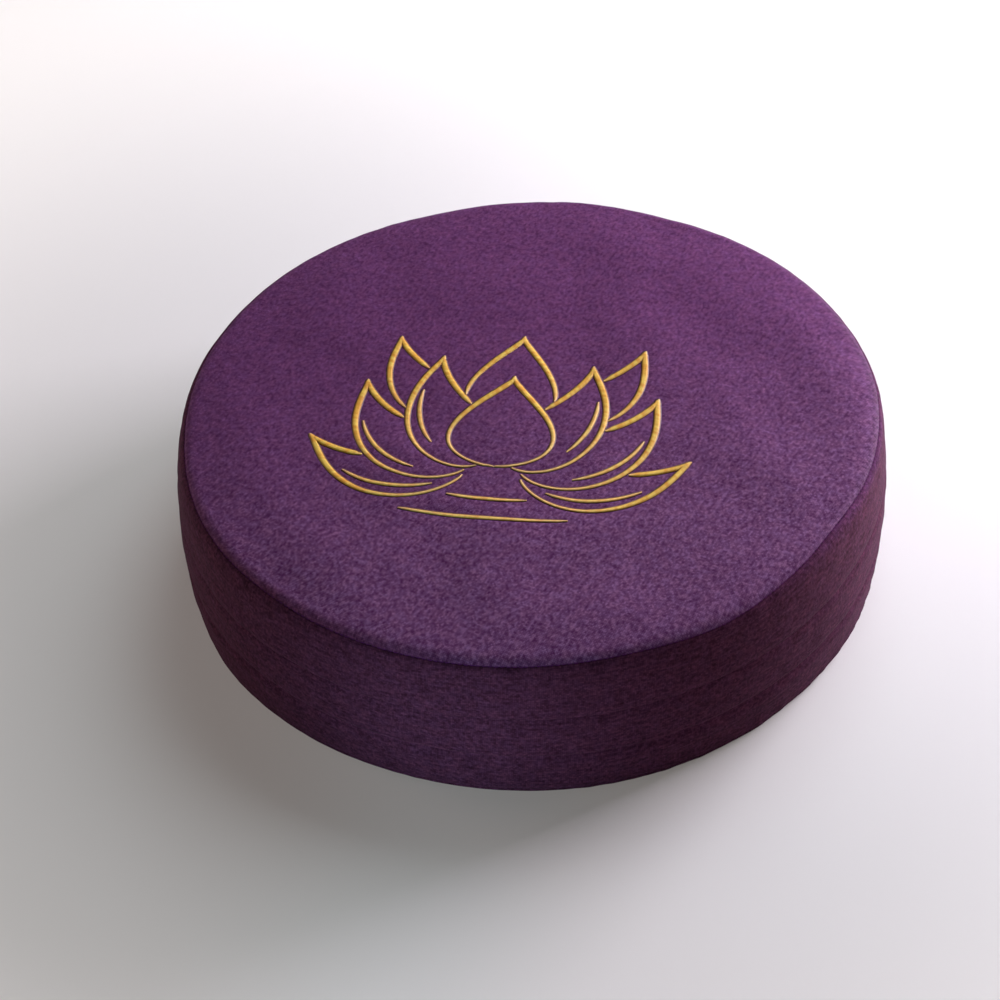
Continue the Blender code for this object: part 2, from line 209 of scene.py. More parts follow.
# Stitches of the rim seam
STITCH_PITCH = 3.1 * MM
STITCH_LENGTH = 2.5 * MM
STITCH_RADIUS = 0.24 * MM
STITCH_LIFT = 0.42 * MM  # above the seam's bottom
STITCH_LEAN = 0.08 * MM
STITCH_SHIFT, STITCH_STRETCH = (0.4, 0.6), (0.9, 1.1)  # ranges of a stitch's place and length
STITCH_CORNERS = 6
STITCH_RINGS = (  # place along, thickness, and mm that the ring is sunk
    (-1, 0.5, 0.45), (-0.8, 0.9, 0.18), (-0.35, 1, 0), (0.35, 1, 0), (0.8, 0.9, 0.18), (1, 0.5, 0.45),
)
STITCH_DARK, STITCH_LIGHT = (0.042, 0.005, 0.043, 1), (0.110, 0.017, 0.110, 1)

# Relief of small things
GATHER_REACH = 7 * MM  # how far the small gathers run from their seam
GATHER_CHANGE = 90 * MM  # from stronger to weaker gathers
GATHER_STRENGTH = (0.6, 0.8)  # least strength, and how much more there can be
RIM_GATHER = (0.16 * MM, 9 * MM, 1.3)  # size, wavelength and seed
STRIP_GATHER = (0.14 * MM, 11 * MM, 4.1)
FOOT_GATHER = (1.0, 7 * MM, 8.7)  # as a share of the size below
FOOT_GATHER_SIZE = 0.18 * MM
PUCKER_SIZE = 0.45 * MM  # more gathers at the foot, round a centre and with a half width in degrees
PUCKER_PLACE = (318, 28)
UNEVENNESS = 0.16 * MM
UNEVEN_FIELDS = ((1, 38 * MM, 3.0), (0.5, 15 * MM, 9.0))  # share, wavelength and seed

# Cloth
CLOTH_MAP = "cloth"
PANEL_OFFSETS = {"upper": 0.113, "middle": 0.371, "lower": 0.732}
YARN_PITCH = 1.0 * MM
CLOTH_TURN = math.radians(-30)  # the top panel's warp, clockwise from the back
YARN_ROUND = 3.6  # how round a yarn's section is
YARN_CHANGE = 9  # of tone along one yarn, in yarns
WARP_STEP, WEFT_STEP = 7.31, 5.77  # from one yarn's place in the noise to the next one's
WEFT_SEED, SLUB_SEED, CLOUD_SEED, HUE_SEED = 40.0, 51, 9, 23
CLOUD_SIZE = 12  # of the slow changes of tone, in yarns
HUE_SIZE = 6  # of the redder and bluer patches, in yarns
SPOT_SHARE = 0.32
TONE_SHARE = 0.45
CLOUD_SHARE = 0.35
HUE_SHARE = 0.045
FLECK_RANGE, HUE_RANGE = (0.25, 0.75), (0.35, 0.65)  # of the noise, made into 0 to 1
HEIGHT_SHARE = (0.35, -0.25)  # painted shade in the gaps between yarns: how much lighter the crests of the yarns are than the gaps
CONTRAST = (0.85, 0.35)  # of the cloth's tones without the painted sheen, and what the painted sheen adds as painted glints
MIDDLE_TONE = 0.45  # the tone that contrast leaves as it is
TONE_POWER = 1.35  # more of the darker tones than of the lighter ones
WEAVE_BUMP = 0.3  # strength, and height as a share of the yarn pitch
EDGE_TURN = 8 * MM  # how far from the rim seam the painted shade and light of the edge reach
EDGE_PLACES = ((235, 1.0, 40),)  # where the rim takes painted shade, darker where it turns away from the light, by azimuth like the lumps
SHOULDER_ABOVE = ((338, 0.44, 24), (14, 1.0, 30))  # where the top takes painted shade on its shoulder, dimming the edge that faces the light
SHOULDER_BELOW = ((338, 1.0, 24),)  # and where the side takes painted light, lighter just below the seam
SEAM_LINE = 0.38 * MM  # half width of the painted shade along the rim seam's groove
SEAM_SHADE = (0.62, 0.38, 0.64, 1)
CLOTH_COLUMNS = ("name", "dark", "light", "edge_tint", "shoulder_tint", "fleck_size", "fleck_share",
                 "slub_size", "slub_share", "roughness", "specular")  # sizes in yarns, across and along
# The side band's cloth is a darker, redder copy of the top's: painted shade for the side that the light
# leaves darker, with a painted warm bounce from the floor.
CLOTHS = (
    ("cloth_top", (0.044, 0.0004, 0.043), (0.186, 0.055, 0.1815), (0.68, 0.34, 0.42),
     (0.48, 0.48, 0.46), (2.2, 3.2), 0.41, (1.5, 6), 0.22, 0.92, 0.25),
    ("cloth_side", (0.0175, 0.0008, 0.0085), (0.108, 0.0265, 0.065), (1.0, 0.92, 0.95),
     (1.25, 1.42, 1.95), (2.4, 2.4), 0.38, (9, 1.7), 0.75, 0.92, 0.10),
)
FADED = (1.18, 1.68, 1.20)  # painted whitish sheen: how much lighter and greyer the top's colour becomes towards its front, at most
FADING_AZIMUTH = math.radians(-80)
FADING_FROM, FADING_TO = -80 * MM, 130 * MM
# painted shade of the gold thread
THREAD_DEEP = (0.45, 0.17, 0.02, 1)
DEEP_SHARES = (0.35, 0.6)  # of the painted shade between stitches, and at a stroke's edge
THREAD_DARK = (0.82, 0.39, 0.03, 1)
THREAD_LIGHT = (0.96, 0.68, 0.11, 1)
THREAD_THIN = (0.92, 0.62, 0.34, 1)  # single stitches look paler
# painted shadow of a stroke on the cloth beside it
PINCHED_CLOTH = (0.062, 0.013, 0.020, 1)

# Studio
FLOOR_COLOUR = (0.63, 0.63, 0.63, 1)
FLOOR_REACH = 60
GLOW_COLOUR = (1.0, 0.92, 0.86, 1)  # the floor is a light table, brighter away from the cushion
NEAR_GLOW, FAR_GLOW = 0.15, 0.50
GLOW_FROM, GLOW_TO = 0.25, 0.70
WORLD_COLOUR = (1.0, 0.98, 0.96, 1)  # a pale haze at the horizon, dark above
HORIZON_STRENGTH, SKY_STRENGTH = 0.5, 0.01
HAZE_TOP = 0.22
LIGHT_COLUMNS = ("name", "aim_height", "azimuth", "elevation", "distance", "size", "spread", "power",
                 "colour")
LIGHTS = (
    ("key", 84, 30, 12, 1.05, 0.6, 180, 26.8, (1.0, 0.91, 1.03)),
    ("side", 84, 10, 40, 1.05, 0.6, 180, 1.0, (1.0, 0.96, 1.03)),
    ("back", 84, 62, 50, 2.4, 1.5, 180, 28.5, (0.92, 1.0, 1.04)),
    ("left", 84, 160, 5, 1.4, 0.5, 180, 6.0, (1.0, 0.74, 0.70)),
    ("front", 40, 255, 3, 1.2, 0.1, 13, 0.055, (0.50, 0.95, 1.05)),
)

# Camera: the photograph's frame is square
CAMERA_PLACE = Vector((0, -1.0847, 1.0511))
CAMERA_AIM = Vector((-0.0179, -0.0213, 0.0459))
CAMERA_ROLL = math.radians(-3.83)
CAMERA_LENS = 93.6


def columns(names, rows):
    """The rows of a table as dictionaries, by column name."""
    return [dict(zip(names, row)) for row in rows]


def new_object(name, data):
    made = bpy.data.objects.new(name, data)
    bpy.context.scene.collection.objects.link(made)
    return made


def smooth_mesh(name, points, faces, *materials):
    mesh = bpy.data.meshes.new(name)
    mesh.from_pydata(points, [], faces)
    mesh.shade_smooth()
    for material in materials:
        mesh.materials.append(material)
    return mesh


def tube_faces(first, rings, corners):
    """The faces of a closed tube whose rings of vertices follow each other from the first vertex."""
    last = first + (rings - 1) * corners
    faces = [(low + k, low + (k + 1) % corners, low + corners + (k + 1) % corners, low + corners + k)
             for low in range(first, last, corners) for k in range(corners)]
    return faces + [tuple(range(first, first + corners))[::-1], tuple(range(last, last + corners))]


def mark_vertices(mesh, **values):
    """Gives every vertex the values that the materials read by these names."""
    for name, numbers in values.items():
        attribute = mesh.attributes.new(name, "FLOAT", "POINT")
        attribute.data.foreach_set("value", np.array(numbers, np.float32))


def tree_of(points):
    """A tree that finds the nearest of the points."""
    tree = KDTree(len(points))
    for index, point in enumerate(points):
        tree.insert(point, index)
    tree.balance()
    return tree


def reached(steps):
    """The distance along a path to each of its points, from the lengths between them."""
    return np.concatenate([[0], np.cumsum(steps)])


# ---------------------------------------------------------------- cushion form

def bell(azimuth, centre, half_width):
    """A smooth bump of 1 at a centre in degrees, at azimuths in radians."""
    away = (np.degrees(azimuth) - centre + 180) % 360 - 180
    return np.exp(-((away / half_width) ** 2))


def lumps(table, azimuth):
    """The summed size of a table's smooth lumps at azimuths in radians."""
    total = np.zeros_like(azimuth)
    for centre, size, half_width in table:
        total += size * MM * bell(azimuth, centre, half_width)
    return total


def round_share(table, azimuth):
    """A share that a table's lumps give round the cushion, kept from 0 to 1."""
    return np.clip(lumps(table, azimuth) / MM, 0, 1)


def smooth_step(share):
    share = np.clip(share, 0.0, 1.0)
    return share * share * (3 - 2 * share)


def seam_dip(distance, depth, reach):
    """How far the cloth is drawn in at a distance from a seam."""
    return depth * np.maximum(0.0, 1 - np.abs(distance) / reach) ** 2


def roll_dip(distance, roll):
    """How far the cloth has gone in where it rolls into a seam with a radius."""
    near = np.maximum(0.0, roll - np.abs(distance))
    return roll - np.sqrt(roll * roll - near * near)


def side_lean(height):
    """How far the bellied side leans in from its widest radius."""
    above = TOP_DRAW * ((height - BELLY_HEIGHT) / (RIM_HEIGHT - BELLY_HEIGHT)) ** 2
    below = FOOT_DRAW * ((height - BELLY_HEIGHT) / BELLY_HEIGHT) ** 2
    return np.where(height > BELLY_HEIGHT, above, below)


def uneven(radius, azimuth, height):
    """Moves points of the evenly turned cushion to where the hand-filled, hand-sewn one has them."""
    radius, height = radius.copy(), height.copy()
    across, up = radius - RIM_CENTRE, height - RIM_HEIGHT
    on_rim = (across > 0) & (up > 0)
    rounding, angle = np.hypot(across, up), np.arctan2(up, across)
    wander = lumps(RIM_SEAM_WANDER + RIM_SEAM_SHIFT, azimuth)
    angle = angle - wander / RIM_ROUND * np.sin(2 * angle)
    radius = np.where(on_rim, RIM_CENTRE + rounding * np.cos(angle), radius)
    on_side = ~on_rim & (height > 0) & (height < RIM_HEIGHT) & (radius > RIM_CENTRE)
    sway = STRIP_SWAY * np.cos(azimuth - math.radians(STRIP_SWAY_AZIMUTH))
    sway = sway * np.sin(np.pi * np.clip(height / RIM_HEIGHT, 0, 1)) ** 2
    height = np.where(on_rim, RIM_HEIGHT + rounding * np.sin(angle), height + np.where(on_side, sway, 0))
    share = smooth_step(height / RIM_HEIGHT)
    push = share * lumps(RIM_LUMPS, azimuth) + (1 - share) * lumps(FOOT_LUMPS, azimuth)
    radius = radius + push * np.minimum(1.0, radius / RIM_CENTRE) ** 4
    return np.stack([radius * np.cos(azimuth), radius * np.sin(azimuth), height], -1)


def spread(start, end, marks, step):
    """Values from start to end that hold every mark between them, with the gaps filled in equal steps."""
    low, high = min(start, end), max(start, end)
    held = sorted({start, end, *(mark for mark in marks if low < mark < high)})
    values = []
    for first, last in zip(held, held[1:]):
        parts = max(1, round((last - first) / step))
        values += [first + (last - first) * part / parts for part in range(parts)]
    values.append(held[-1])
    return values if start < end else values[::-1]


def beside(seam, offsets=SEAM_ROW_OFFSETS):
    """The mesh rows on both sides of a seam."""
    return [seam + sign * offset * MM for offset in offsets for sign in (-1, 1)]


class Section:
    """The half section of the cover: for each row its bare radius and height, outward direction, relief in
    that direction, and the panel that follows it; then the arc length from the middle of the top."""

    def __init__(self, rows):
        *numbers, self.panels = zip(*rows)
        self.radius, self.height, self.out_radius, self.out_height, self.relief = np.array(numbers, float)
        self.arc = reached(np.hypot(np.diff(self.radius), np.diff(self.height)))

    def first(self, panel):
        """The row that starts a panel."""
        return self.panels.index(panel)

    def rows_of(self, *panels):
        """Which rows start one of these panels, as a column of 0 and 1."""
        return np.array([panel in panels for panel in self.panels], float)[:, None]


def rim_relief(distance):
    """Relief beside the rim seam.  The distance is upwards, to the top panel."""
    relief = -seam_dip(distance, *RIM_SEAM) - roll_dip(distance, RIM_ROLL)
    allowance = smooth_step((-distance - ALLOWANCE_GAP) / MM) * smooth_step((distance + ALLOWANCE_WIDTH) / MM)
    flat = smooth_step((distance - EDGE_FLAT_FROM) / (EDGE_FLAT_TO - EDGE_FLAT_FROM))
    return relief + ALLOWANCE_RELIEF * allowance - EDGE_FLAT * flat


def side_relief(height):
    """Relief of the side strips with their seams, from the height."""
    upper, lower = (height - seam for seam in STRIP_SEAM_HEIGHTS)
    relief = -seam_dip(upper, *STRIP_SEAM) - roll_dip(upper, STRIP_ROLL)
    relief -= seam_dip(lower, *STRIP_SEAM)
    relief -= LAP_STEP * smooth_step(-lower / LAP_SLOPE) * smooth_step((lower + LAP_FADE[0]) / LAP_FADE[1])
    lip = np.exp(-(((lower - LAP_LIP_HEIGHT) / LAP_LIP_HALF_WIDTH) ** 2))
    relief += LAP_LIP * lip * (lower > LAP_LIP_END)
    foot = height - FOOT_SEAM_HEIGHT
    relief -= seam_dip(foot, *FOOT_SEAM) + roll_dip(foot, FOOT_ROLL)
    rim = height - RIM_HEIGHT - RIM_SEAM_ARC
    return relief + ALLOWANCE_RELIEF * smooth_step((rim + ALLOWANCE_WIDTH) / MM) * (height < RIM_HEIGHT)


def cover_section():
    """The cover's half section, from the middle of the top, round the rim and side, to the base."""
    rows = []
    for radius in spread(0, RIM_CENTRE, (), ROW_STEP)[:-1]:
        slope = 2 * CROWN * radius / RIM_CENTRE ** 2
        height = TOP_EDGE_HEIGHT + CROWN * (1 - (radius / RIM_CENTRE) ** 2)
        rows.append((radius, height, slope, 1, -EDGE_FLAT, "top"))
    for arc in np.array(spread(RIM_ROUND * math.pi / 2, 0, beside(RIM_SEAM_ARC), ROW_STEP)[:-1]):
        out = (math.cos(arc / RIM_ROUND), math.sin(arc / RIM_ROUND))
        relief = rim_relief(arc - RIM_SEAM_ARC)
        panel = "top" if arc > RIM_SEAM_ARC + ROW_SLACK else "upper"
        rows.append((RIM_CENTRE + RIM_ROUND * out[0], RIM_HEIGHT + RIM_ROUND * out[1], *out, relief, panel))
    upper, lower = STRIP_SEAM_HEIGHTS
    marks = beside(upper) + beside(lower) + beside(lower, LAP_ROW_OFFSETS) + beside(FOOT_SEAM_HEIGHT)
    for height in np.array(spread(RIM_HEIGHT, FOOT_ROUND, marks, ROW_STEP)):
        radius, relief = BELLY_RADIUS - side_lean(height), side_relief(height)
        below = [height < seam + ROW_SLACK for seam in (upper, lower, FOOT_SEAM_HEIGHT)]
        rows.append((radius, height, 1, 0, relief, ("upper", "middle", "lower", "base")[sum(below)]))
    foot_centre = radius + relief - FOOT_ROUND
    for angle in FOOT_ROW_ANGLES:
        turn = math.radians(angle)
        rows.append((foot_centre + FOOT_ROUND * math.cos(turn), FOOT_ROUND * (1 + math.sin(turn)),
                     math.cos(turn), 0, 0, "base"))
    for radius in spread(foot_centre, 0, [foot_centre - BASE_EDGE_ROW], BASE_ROW_STEP)[1:]:
        rows.append((radius, 0, 0, 0, 0, "base"))
    return Section(rows)


def column_azimuths():
    """Azimuths of the mesh columns from the join at the back, going left, with narrow ones at the join."""
    azimuth = np.arange(COLUMNS) * 2 * math.pi / COLUMNS
    for place, offset in enumerate(JOIN_COLUMN_OFFSETS, 1):
        azimuth[place] = offset * MM / BELLY_RADIUS
        azimuth[-place] = 2 * math.pi - azimuth[place]
    return azimuth + math.pi / 2


def ring_sizes(radius):
    """How many columns each row has: one at the very middle, and fewer where the ring is small."""
    sizes = []
    for ring in radius:
        size = COLUMNS
        while size > FEWEST_COLUMNS and 2 * math.pi * ring / size < COLUMN_SPACE:
            size //= 2
        sizes.append(size if ring > ROW_SLACK else 1)
    return sizes


def strip_faces(row, size, next_size):
    """Faces between a row and the next as corners (row, column of the finest ring, not wrapped)."""
    sizes = (size, next_size)
    pattern, count = ("same", "finer", "coarser")[np.sign(next_size - size)], min(sizes)
    if count == 1:
        pattern, count = ("from the middle" if size == 1 else "to the middle"), max(sizes)
    step = COLUMNS // count
    return [tuple((row + down, 0 if sizes[down] == 1 else k * step + halves * step // 2)
                  for down, halves in face)
            for k in range(count) for face in STRIP_PATTERNS[pattern]]


def ring_noise(azimuth, wavelength, seed):
    """Smooth noise round the cushion, about -1 to 1, that closes on itself."""
    reach = BELLY_RADIUS / wavelength
    return 2 * np.array([noise.noise(Vector((math.cos(a) * reach, math.sin(a) * reach, seed)))
                         for a in azimuth])


def field_noise(points, wavelength, seed):
    """Smooth noise in space, about -1 to 1, at an array of points."""
    flat = points.reshape(-1, 3) / wavelength
    values = [noise.noise(Vector((x, y, z + seed))) for x, y, z in flat]
    return 2 * np.array(values).reshape(points.shape[:-1])


def gathers(azimuth, distance, size, wavelength, seed):
    """Small ripples that run out of a seam and die away."""
    least, more = GATHER_STRENGTH
    strength = least + more * np.abs(ring_noise(azimuth, GATHER_CHANGE, seed + 7))
    ripple = ring_noise(azimuth, wavelength, seed) * strength
    return size * ripple[None, :] * np.exp(-np.abs(distance[:, None]) / GATHER_REACH)


def sewing_relief(section, azimuth):
    """Relief of the seams, their gathers and the join over the whole cover, by row and column."""
    height, side = section.height, section.rows_of("upper", "middle", "lower")
    whole = section.relief[:, None] * np.ones_like(azimuth)[None, :]
    whole += gathers(azimuth, section.arc - section.arc[section.first("upper")], *RIM_GATHER)
    size, wavelength, seed = STRIP_GATHER
    for place, seam in enumerate(STRIP_SEAM_HEIGHTS):
        away = np.where(side[:, 0] > 0, height - seam, 1)
        whole += gathers(azimuth, away, size, wavelength, seed + place)
    foot_size = FOOT_GATHER_SIZE + PUCKER_SIZE * bell(azimuth, *PUCKER_PLACE)
    foot = gathers(azimuth, height - FOOT_SEAM_HEIGHT, *FOOT_GATHER)
    whole += foot * foot_size[None, :] * (height > 0)[:, None]
    loose = STRIP_LOOSE * (1 - round_share(STRIP_TIGHT, azimuth))
    whole += side * roll_dip(height - STRIP_SEAM_HEIGHTS[0], STRIP_ROLL)[:, None] * loose[None, :]
    join = (azimuth - math.pi / 2 + math.pi) % (2 * math.pi) - math.pi
    join = np.abs(join) * BELLY_RADIUS
    whole -= side * (roll_dip(join, JOIN_ROLL) + seam_dip(join, JOIN_ROLL, JOIN_REACH))[None, :]
    return whole


def swell_room(section):
    """How far inside its final place the cover starts, for the filling to swell it: a bow between seams."""
    fade = smooth_step((RIM_CENTRE - section.radius) / TOP_SWELL_FADE)
    room = SWELL * fade * section.rows_of("top")[:, 0]
    side = section.rows_of("upper", "middle", "lower")[:, 0]
    held = (RIM_HEIGHT, *STRIP_SEAM_HEIGHTS, FOOT_SEAM_HEIGHT)
    for above, below in zip(held, held[1:]):
        share = np.clip((section.height - below) / (above - below), 0, 1)
        room += SWELL * np.sin(math.pi * share) ** 2 * side
    return room


def cover_grid(section, azimuth, strokes):
    """Every point of the cover by row and column."""
    relief = sewing_relief(section, azimuth)
    spin = np.broadcast_to(azimuth[None, :], relief.shape)

    def placed(lift):
        return uneven(section.radius[:, None] + section.out_radius[:, None] * lift,
                      spin, section.height[:, None] + section.out_height[:, None] * lift)

    final = placed(relief)
    start = placed(relief - swell_room(section)[:, None])
    sewn = final[[section.first(panel) for panel in ("upper", "middle", "lower", "base")]]
    grid = start + swelling(start, sewn.reshape(-1, 3), ring_sizes(section.radius))
    grid += surface_unevenness(grid, section)
    grid[..., 2] -= section.rows_of("top") * stroke_dip(grid, strokes)
    grid[..., 2] = np.maximum(grid[..., 2], 0)
    return grid


def surface_unevenness(grid, section):
    """Small slow unevenness of the filling, outwards, as an offset for each point."""
    slow = sum(share * field_noise(grid, wavelength, seed) for share, wavelength, seed in UNEVEN_FIELDS)
    spin = np.arctan2(grid[..., 1], grid[..., 0])
    size = UNEVENNESS * slow * (section.height > FOOT_ROUND)[:, None]
    across = section.out_radius[:, None]
    out = np.stack([across * np.cos(spin), across * np.sin(spin),
                    np.broadcast_to(section.out_height[:, None], spin.shape)], -1)
    return size[..., None] * out


def stroke_dip(grid, strokes):
    """How far the embroidery pulls the cloth down."""
    tree = tree_of([(point.x, point.y, 0) for points, _ in strokes.values() for point in points])
    dip = np.zeros(grid.shape[:-1])
    for place in zip(*np.nonzero(grid[..., 2] > RIM_HEIGHT)):
        x, y, _ = grid[place]
        distance = tree.find((x, y, 0))[2]
        if distance < 3 * CLOTH_DIP_REACH:
            dip[place] = CLOTH_DIP * math.exp(-((distance / CLOTH_DIP_REACH) ** 2))
    return dip


def swelling(start, sewn, sizes):
    """How the filling moves the cover's points from where they start. A coarse copy of the cover, held at
    its seams and base and more loosely by the foam, is blown up by a cloth simulation."""
    points, faces, _ = ring_mesh(start, sizes)
    mesh = smooth_mesh("swelling_cover", points, faces)
    cover = new_object("swelling_cover", mesh)
    remesh = cover.modifiers.new("even_cloth", "REMESH")
    remesh.mode = "VOXEL"
    remesh.voxel_size = VOXEL
    even = bpy.data.meshes.new_from_object(cover.evaluated_get(bpy.context.evaluated_depsgraph_get()))
    cover.modifiers.remove(remesh)
    cover.data = even
    pin_cover(cover, sewn)
    before = vertex_places(even)
    moved = blown_up(cover) - before
    far = np.linalg.norm(moved, axis=1, keepdims=True)
    moved *= np.minimum(1.0, MOST_SWELL / np.maximum(far, 1e-9))
    bpy.data.objects.remove(cover)
    for used in (mesh, even):
        bpy.data.meshes.remove(used)
    return followed(before, moved, start)


def vertex_places(mesh):
    places = np.empty(3 * len(mesh.vertices), np.float32)
    mesh.vertices.foreach_get("co", places)
    return places.reshape(-1, 3).astype(float)


def pin_cover(cover, sewn):
    """Pins the cloth at the sewn points and on the floor, and ties the rest loosely to the foam.  The cloth
    of the top has no spare length."""
    tree = tree_of(sewn)
    hold, snug = cover.vertex_groups.new(name="hold"), cover.vertex_groups.new(name="snug")
    places = vertex_places(cover.data)
    loose = np.where(places[:, 2] > TOP_EDGE_HEIGHT - 2 * MM, TOP_HOLD, SIDE_HOLD)
    loose *= 1 + HOLD_UNEVENNESS * field_noise(places, FILLING_PATCH, FILLING_SEED)
    for index, place in enumerate(places):
        held = tree.find(place)[2] < SEAM_HOLD or place[2] < FOOT_SEAM_HEIGHT
        hold.add([index], 1.0 if held else loose[index], "REPLACE")
        if place[2] > RIM_HEIGHT:
            snug.add([index], 1.0, "REPLACE")


def blown_up(cover):
    """Where the cover's vertices come to rest under the filling's pressure."""
    scene = bpy.context.scene
    cloth = cover.modifiers.new("swell", "CLOTH")
    for name, value in CLOTH_SETTINGS.items():
        setattr(cloth.settings, name, value)
    cloth.settings.effector_weights.gravity = 0
    cloth.collision_settings.use_collision = False
    cloth.point_cache.frame_start, cloth.point_cache.frame_end = 1, FRAMES
    for frame_number in range(1, FRAMES + 1):
        scene.frame_set(frame_number)
    settled = cover.evaluated_get(bpy.context.evaluated_depsgraph_get())
    places = vertex_places(settled.data)
    scene.frame_set(1)
    return places


def followed(before, moved, points):
    """How points of the fine cover move with the nearest simulated ones."""
    tree = tree_of(before)
    flat = points.reshape(-1, 3)
    result = np.empty_like(flat)
    for index, place in enumerate(flat):
        near = tree.find_n(place, NEIGHBOURS)
        weights = np.array([max(0.0, 1 - distance / (2 * VOXEL)) ** 2 + 1e-9 for _, _, distance in near])
        result[index] = weights @ moved[[number for _, number, _ in near]] / weights.sum()
    return result.reshape(points.shape)


def ring_mesh(grid, sizes):
    """The cover's points and faces from its rows and columns, and the corners of each row's faces."""
    number, points, faces, rings = {}, [], [], []
    for row, size in enumerate(sizes):
        for column in range(0, COLUMNS, COLUMNS // size):
            number[row, column] = len(points)
            points.append(grid[row, column])
    for row in range(len(sizes) - 1):
        ring = strip_faces(row, sizes[row], sizes[row + 1])
        faces += [[number[r, c % COLUMNS] for r, c in corners] for corners in ring]
        rings.append(ring)
    return points, faces, rings


def cloth_coordinates(section, azimuth, row, column, panel):
    """Place on the flat cloth of a face corner, in metres.  Each panel is its own cut of the cloth."""
    arc = section.arc[row]
    spin = azimuth[column % COLUMNS] + 2 * math.pi * (column // COLUMNS)
    disc = {"top": arc, "base": section.arc[-1] - arc}
    if panel in disc:
        u, v = disc[panel] * np.cos(spin - CLOTH_TURN), disc[panel] * np.sin(spin - CLOTH_TURN)
    else:
        u, v = spin * BELLY_RADIUS + PANEL_OFFSETS[panel], -arc
    return np.stack([u, v], -1)


def make_cover(section, azimuth, grid):
    """The sewn cover as one closed mesh, with the place on the cloth as its UV map."""
    sizes = ring_sizes(section.radius)
    points, faces, rings = ring_mesh(grid, sizes)
    flat, looks = [], []
    for panel, ring in zip(section.panels, rings):
        # faces of the side band take the darker copy of the cloth, which is painted shade
        looks += [int(panel != "top")] * len(ring)
        row, column = np.array([corner for corners in ring for corner in corners]).T
        flat.append(cloth_coordinates(section, azimuth, row, column, panel))
    cloths = [cover_cloth(**cloth) for cloth in columns(CLOTH_COLUMNS, CLOTHS)]
    mesh = smooth_mesh("cushion_cover", points, faces, *cloths)
    layer = mesh.uv_layers.new(name=CLOTH_MAP)
    layer.data.foreach_set("uv", np.concatenate(flat).astype(np.float32).ravel())
    mesh.set_sharp_from_angle(angle=SHARP_FOLD)
    mesh.polygons.foreach_set("material_index", looks)
    places = np.array(points)
    above = np.repeat(section.arc[section.first("upper")] - section.arc, sizes)
    near = smooth_step(1 - np.abs(above) / EDGE_TURN)
    turn = np.arctan2(places[:, 1], places[:, 0])
    shoulders = [round_share(table, turn) for table in (SHOULDER_ABOVE, SHOULDER_BELOW)]
    ahead = places[:, 0] * math.cos(FADING_AZIMUTH) + places[:, 1] * math.sin(FADING_AZIMUTH)
    faded = smooth_step((ahead - FADING_FROM) / (FADING_TO - FADING_FROM)) * (above >= 0)
    # marks for painted light and shade: the rim's painted shade, the shoulders' painted shade and light, the
    # seam's painted shade, and the top's painted sheen
    mark_vertices(mesh, edge_turn=near * round_share(EDGE_PLACES, turn),
                  shoulder=near * np.where(above > 0, *shoulders),
                  seam_line=np.exp(-((above / SEAM_LINE) ** 2)), fading=faded)
    return add_piece("cushion_cover", mesh, "cushion")


def add_piece(name, mesh, node):
    """A piece that stands for a CAD node."""
    piece = new_object(name, mesh)
    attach(piece, "root")
    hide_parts(node)
    return piece


def make_seam_stitches(section, grid, paint):
    """The stitches of the rim seam, deep between the top and the side band, as short rolls of thread."""
    seam = grid[section.first("upper")]
    path = np.concatenate([seam, seam[:1]])
    reach = reached(np.linalg.norm(np.diff(path, axis=0), axis=1))
    count = round(reach[-1] / STITCH_PITCH)
    chance = random.Random("seam stitches")
    verts, faces = [], []
    for stitch in range(count):
        faces += tube_faces(len(verts), len(STITCH_RINGS), STITCH_CORNERS)
        middle = (stitch + chance.uniform(*STITCH_SHIFT)) * reach[-1] / count
        length = STITCH_LENGTH * chance.uniform(*STITCH_STRETCH)
        lean = chance.uniform(-1, 1) * STITCH_LEAN
        for along, thick, sunk in STITCH_RINGS:
            at = middle + along * length / 2
            centre = Vector([np.interp(at, reach, path[:, axis]) for axis in range(3)])
            out = (Vector((centre.x, centre.y, 0)).normalized() + UP).normalized()
            up = (UP - out * out.z).normalized()
            centre += out * (STITCH_LIFT - sunk * MM) + up * (lean * along)
            for corner in range(STITCH_CORNERS):
                turn = 2 * math.pi * corner / STITCH_CORNERS
                verts.append(centre + (out * math.cos(turn) + up * math.sin(turn)) * (thick * STITCH_RADIUS))
    mesh = smooth_mesh("seam_stitches", verts, faces, paint)
    return add_piece("seam_stitches", mesh, "cushion")


# ---------------------------------------------------------------- embroidery

def petal_sides(petal, mirror):
    """The outer and inner side of a petal from base to tip, as lists of (u, v) in mm."""
    base = Vector((petal["base_u"], petal["base_v"]))
    axis = Vector((petal["tip_u"], petal["tip_v"])) - base
    outwards = Vector((axis.y, -axis.x)).normalized()
    widest = petal["swell"] / (petal["swell"] + petal["point"])
    sides = ([], [])
    for share in SHARES:
        middle = base + axis * share + outwards * (4 * share * (1 - share) * petal["bend"])
        along = axis + outwards * (4 * (1 - 2 * share) * petal["bend"])
        across = Vector((along.y, -along.x)).normalized()
        growth = (share / widest) ** petal["swell"] * ((1 - share) / (1 - widest)) ** petal["point"]
        for side, sign in zip(sides, (1, -1)):
            point = middle + across * (sign * growth * petal["half_width"])
            side.append((point.x * mirror, point.y))
    return sides


def on_cushion(u, v):
    """A point of the lotus drawing, in mm, as x and y on the cushion."""
    u, v = u - LOTUS_MIDDLE_U_V[0], v - LOTUS_MIDDLE_U_V[1]
    x = (u * math.cos(LOTUS_TURN) - v * math.sin(LOTUS_TURN)) * MM
    y = (u * math.sin(LOTUS_TURN) + v * math.cos(LOTUS_TURN)) * MM
    return Vector((x + LOTUS_PLACE[0], y + LOTUS_PLACE[1]))


